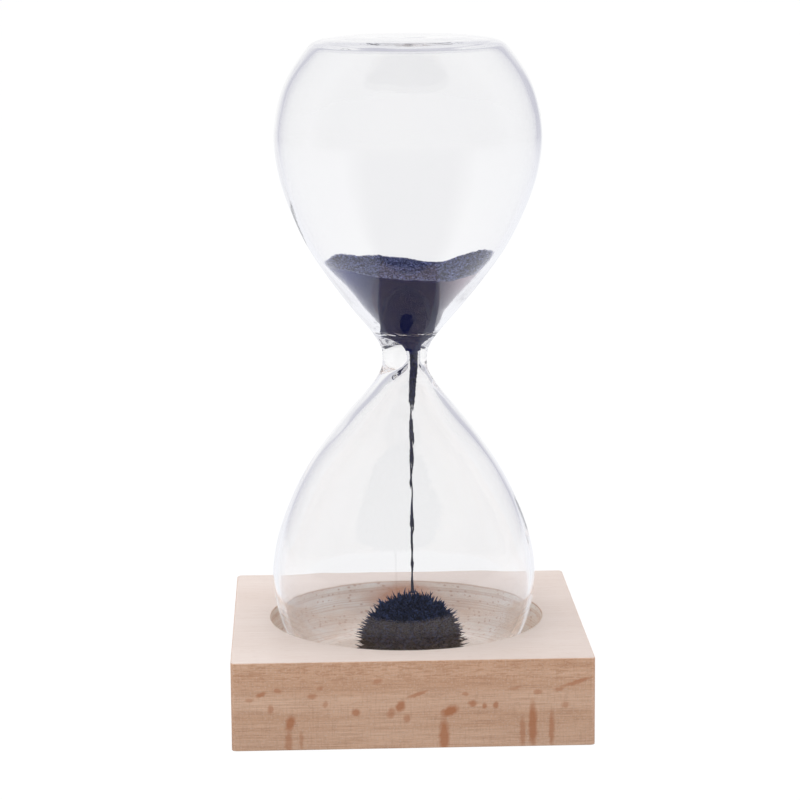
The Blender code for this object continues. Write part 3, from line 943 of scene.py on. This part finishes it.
PILE_RADIUS = 0.0108  # dense core, below the bristles
PILE_MIDDLE_X = round((pile_low.x + pile_high.x) / 2, 5)
PILE_CENTRE = Vector((PILE_MIDDLE_X, 0.0, 0.0130))
PILE_FOOT = GLASS_BOTTOM + END_WALL + 0.00005
PILE_REFLECTION_Z = 0.0148  # the grains are painted brown below this height, a painted reflection of the wooden block in the glass, and blue-black above
CORE_RINGS = 40
CORE_SEGMENTS = 120
CORE_POLAR = math.pi * 0.62  # the core is a ball down to this angle from its top
BRISTLE_SPREAD = 0.26  # how far the bristles lean out of true
CROWN_LONGEST = 0.0020  # longest bristle at the very top, under the stream
# a dense fur of short bristles, then the long ones that stand out of it: how many, shortest,
# longest, thinnest, thickest
BRISTLES = (
    (1400, 0.0010, 0.0017, 0.00022, 0.00034),
    (460, 0.0018, 0.0029, 0.00026, 0.00038),
)
NEEDLE_SIDES = 5
NEEDLE_STEPS = 5


def needle(length, width, place, direction, bend):
    """A tapering bristle of stacked grains."""
    helper = Vector((0, 0, 1)) if abs(direction.z) < 0.9 else Vector((1, 0, 0))
    first = direction.cross(helper).normalized()
    second = direction.cross(first).normalized()
    verts = []
    faces = []
    for step in range(NEEDLE_STEPS):
        t = step / (NEEDLE_STEPS - 1)
        middle = place + direction * (length * t) + bend * (length * t * t)
        radius = width * (1 - t) ** 0.7 * rng.uniform(0.75, 1.2)
        turn = rng.uniform(0, 1.2)
        for side in range(NEEDLE_SIDES):
            a = TURN * side / NEEDLE_SIDES + turn
            verts.append(middle + first * (radius * math.cos(a)) + second * (radius * math.sin(a)))
    verts[-NEEDLE_SIDES:] = [place + direction * length + bend * length]
    tip = len(verts) - 1
    for step in range(NEEDLE_STEPS - 1):
        low = step * NEEDLE_SIDES
        high = low + NEEDLE_SIDES
        for side in range(NEEDLE_SIDES):
            after = (side + 1) % NEEDLE_SIDES
            if high == tip:
                faces.append((low + side, low + after, tip))
            else:
                faces.append((low + side, low + after, high + after, high + side))
    faces.append(tuple(range(NEEDLE_SIDES)))
    return verts, faces


def bristle(direction, length, width, spread):
    """One needle on the core, turned a little away from straight out."""
    lean = (direction + Vector(rng.normal(0, spread, 3))).normalized()
    root = PILE_CENTRE + direction * (PILE_RADIUS - 0.0005)
    tip_z = root.z + lean.z * length
    if tip_z < PILE_FOOT + 0.0003:
        lean.z = (PILE_FOOT + 0.0003 - root.z) / length
        lean.normalize()
    bend = Vector(rng.normal(0, 0.10, 3))
    verts, faces = needle(length, width, root, lean, bend)
    return [(v.x, v.y, max(v.z, PILE_FOOT)) for v in verts], faces


def pile_core():
    """The rough core of the dome, cut off level at its foot."""
    rings = []
    for step in range(CORE_RINGS):
        polar = CORE_POLAR * (step + 1) / CORE_RINGS
        loop = []
        for i in range(CORE_SEGMENTS):
            a = TURN * i / CORE_SEGMENTS
            direction = Vector((
                math.sin(polar) * math.cos(a), math.sin(polar) * math.sin(a), math.cos(polar),
            ))
            rough = 0.00035 * noise.noise(direction * 14) + 0.0002 * noise.noise(direction * 40)
            place = PILE_CENTRE + direction * (PILE_RADIUS - 0.0003 + rough)
            place.z = max(place.z, PILE_FOOT)
            loop.append(tuple(place))
        rings.append(loop)
    return loft(rings)


def build_pile():
    """The dome over the magnet: a rough core set with bristles along the field."""
    parts = [pile_core()]
    golden = math.pi * (3 - math.sqrt(5))
    lowest = (PILE_FOOT + 0.0003 - PILE_CENTRE.z) / PILE_RADIUS
    for count, shortest, longest, thin, thick in BRISTLES:
        for i in range(count):
            level = 1 - (1 - lowest) * (i + 0.5) / count
            ring = math.sqrt(max(0.0, 1 - level * level))
            a = golden * i + rng.uniform(-0.12, 0.12)
            direction = Vector((ring * math.cos(a), ring * math.sin(a), level))
            length = rng.uniform(shortest, longest)
            if level > 0.97:
                length = min(length, CROWN_LONGEST)
            elif level < 0.25:
                length *= 1.25
            parts.append(bristle(direction, length, rng.uniform(thin, thick), BRISTLE_SPREAD))
    verts, faces = join_parts(parts)
    pile = add_mesh("bristling_iron_pile", verts, faces)
    pile.data.materials.append(make_filings(
        "pile_iron", rgb(10, 14, 34), rgb(60, 74, 112), 0.6,
        # foot colours: a painted reflection of the wooden block in the glass, browning the lower
        # pile
        foot=(rgb(3, 2, 3), rgb(48, 36, 36)),
    ))
    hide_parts("filings_pile")
    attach(pile, "pile")


# ---- stage, lamps, camera ----
CAMERA_DISTANCE = 0.6457
CAMERA_ELEVATION = math.radians(10.40)
CAMERA_TURN = math.radians(2.03)
CAMERA_ROLL = math.radians(-0.43)
CAMERA_AIM = Vector((-0.00107, 0.0, 0.0706))
CAMERA_LENS = 126.63


def build_camera():
    """A long lens, a little above and to the left of the block's front."""
    forward = Vector((
        math.sin(CAMERA_TURN) * math.cos(CAMERA_ELEVATION),
        math.cos(CAMERA_TURN) * math.cos(CAMERA_ELEVATION),
        -math.sin(CAMERA_ELEVATION),
    ))
    level = Vector((math.cos(CAMERA_TURN), -math.sin(CAMERA_TURN), 0.0))
    upright = level.cross(forward)
    right = math.cos(CAMERA_ROLL) * level + math.sin(CAMERA_ROLL) * upright
    up = math.cos(CAMERA_ROLL) * upright - math.sin(CAMERA_ROLL) * level
    data = bpy.data.cameras.new("photo_camera")
    data.lens = CAMERA_LENS
    data.sensor_width = 36.0
    data.clip_start = 0.01
    camera = bpy.data.objects.new("photo_camera", data)
    turn = Matrix((right, up, -forward)).transposed()
    camera.matrix_world = Matrix.Translation(CAMERA_AIM - CAMERA_DISTANCE * forward) @ turn.to_4x4()
    bpy.context.scene.collection.objects.link(camera)
    bpy.context.scene.camera = camera


FLOOR_HALF = 6.0
FLOOR_Z = -0.0001
FLOOR_SEEN = (0.985, 0.985, 0.985, 1)
FLOOR_GLARE = (0.90, 0.91, 0.95, 1)  # what reflections see of the floor round the block
FLOOR_FRONT = (0.10, 0.11, 0.16, 1)  # and of the floor between the block and the camera
FLOOR_FRONT_STARTS = 0.040  # distance from the middle where that dark part begins
FLOOR_BOUNCE = (0.45, 0.45, 0.46, 1)  # light that the floor sends to the other surfaces
FLOOR_SHADE = (0.03, 0.03, 0.03, 1)  # its own colour, which takes up the faint shadow
WORLD_FILL = (0.62, 0.64, 0.68, 1)
SOFT_STUDIO = (0.84, 0.84, 0.87, 1)
# tone of the studio, from 0 on the camera's side to 1 behind the object
STUDIO_STOPS = (
    (0.32, (0.42, 0.42, 0.45, 1)), (0.45, (0.60, 0.60, 0.62, 1)), (0.55, (0.80, 0.80, 0.82, 1)),
    (0.80, (0.75, 0.76, 0.78, 1)), (0.92, (0.58, 0.58, 0.66, 1)), (0.95, (0.62, 0.62, 0.69, 1)),
    (0.975, (0.95, 0.95, 0.96, 1)),
)
LIGHT_BOUNCES = 80  # light runs a long way round inside the glass walls


def add_lamp(name, place, aim, size, power, colour=(1, 1, 1)):
    data = bpy.data.lights.new(name, "AREA")
    data.shape = "RECTANGLE"
    data.size, data.size_y = size
    data.energy = power
    data.color = colour
    lamp = bpy.data.objects.new(name, data)
    lamp.location = place
    lamp.rotation_euler = (Vector(aim) - Vector(place)).to_track_quat("-Z", "Y").to_euler()
    lamp.visible_camera = False
    lamp.visible_transmission = False
    lamp.visible_glossy = False
    bpy.context.scene.collection.objects.link(lamp)


def studio_tone(n, direction):
    """Brightness of the studio that reflections see: white behind, softer round the camera."""
    towards = n.node("ShaderNodeSeparateXYZ", {"Vector": direction})
    ramp = n.node("ShaderNodeValToRGB", {"Fac": n.span(towards.outputs["Y"], -1.0, 1.0)})
    stops = ramp.color_ramp.elements
    stops[0].position, stops[0].color = 0.0, (0.46, 0.46, 0.48, 1)
    stops[1].position, stops[1].color = 1.0, (1.0, 1.0, 1.0, 1)
    for position, colour in STUDIO_STOPS:
        stop = stops.new(position)
        stop.color = colour
    return ramp.outputs["Color"]


def after_many(n, path, tone):
    """Rays turned about many times inside the glass see a softer studio."""
    through = n.span(path.outputs["Transmission Depth"], 3.0, 4.0)
    turned = n.span(path.outputs["Glossy Depth"], 1.0, 2.0)
    return n.mix(n.math("MAXIMUM", through, turned), tone, SOFT_STUDIO)


def build_stage():
    """A plain pale floor that glows evenly; reflections and bounced light see other tones."""
    corners = [(x * FLOOR_HALF, y * FLOOR_HALF, FLOOR_Z)
               for x, y in ((-1, -1), (1, -1), (1, 1), (-1, 1))]
    floor = add_mesh("studio_floor", corners, [(0, 1, 2, 3)], smooth=False)
    n = Nodes(bpy.data.materials.new("floor_white"))
    path = n.node("ShaderNodeLightPath")
    here = n.node("ShaderNodeNewGeometry").outputs["Position"]
    outward = n.node("ShaderNodeVectorMath", {0: here}, operation="NORMALIZE").outputs[0]
    away = n.node("ShaderNodeVectorMath", {0: here}, operation="LENGTH").outputs["Value"]
    near = n.span(away, 0.35, 1.6, 1.0, 0.0)
    forward = n.node("ShaderNodeSeparateXYZ", {"Vector": outward}).outputs["Y"]
    in_front = n.times(
        n.span(forward, -0.50, -0.80),
        n.span(away, FLOOR_FRONT_STARTS, FLOOR_FRONT_STARTS + 0.010),
    )
    glare = n.mix(in_front, FLOOR_GLARE, FLOOR_FRONT)
    mirrored = n.mix(near, studio_tone(n, outward), glare)
    seen = n.mix(path.outputs["Diffuse Depth"], FLOOR_SEEN, FLOOR_BOUNCE)
    seen = n.mix(path.outputs["Glossy Depth"], seen, after_many(n, path, mirrored))
    glow = n.node("ShaderNodeEmission", {"Color": seen, "Strength": 1.0})
    plain = n.node("ShaderNodeBsdfDiffuse", {"Color": FLOOR_SHADE})
    both = n.node("ShaderNodeAddShader")
    n.feed(both.inputs[0], glow)
    n.feed(both.inputs[1], plain)
    n.feed(n.output.inputs["Surface"], both)
    floor.data.materials.append(n.owner)


def build_world():
    """A white studio with softer reflections."""
    world = bpy.data.worlds.new("studio")
    n = Nodes(world)
    path = n.node("ShaderNodeLightPath")
    direction = n.node("ShaderNodeTexCoord").outputs["Generated"]
    seen = n.mix(path.outputs["Diffuse Depth"], (1, 1, 1, 1), WORLD_FILL)
    mirrored = after_many(n, path, studio_tone(n, direction))
    seen = n.mix(path.outputs["Glossy Depth"], seen, mirrored)
    n.feed(n.tree.nodes["Background"].inputs["Color"], seen)
    scene = bpy.context.scene
    scene.world = world
    scene.view_settings.view_transform = "Standard"
    scene.cycles.max_bounces = LIGHT_BOUNCES
    scene.cycles.transmission_bounces = LIGHT_BOUNCES
    scene.cycles.glossy_bounces = LIGHT_BOUNCES


def build_lamps():
    add_lamp("top_softbox", (-0.08, 0.16, 0.75), (0, 0, 0.05), (0.7, 0.7), 4.9, (0.96, 0.98, 1.0))
    add_lamp("left_softbox", (-0.75, -0.35, 0.35), (0, 0, 0.08), (0.5, 0.8), 3.0)
    add_lamp("right_softbox", (0.75, -0.30, 0.35), (0, 0, 0.08), (0.5, 0.8), 3.0)


build_camera()
build_stage()
build_world()
build_lamps()
build_block()
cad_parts["magnet_disc"].material_slots[0].material = make_ferrite("ferrite")
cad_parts["magnet_cover"].material_slots[0].material = make_beech("cover_beech")
build_glass()
build_seal()
build_charge()
build_stream()
build_pile()
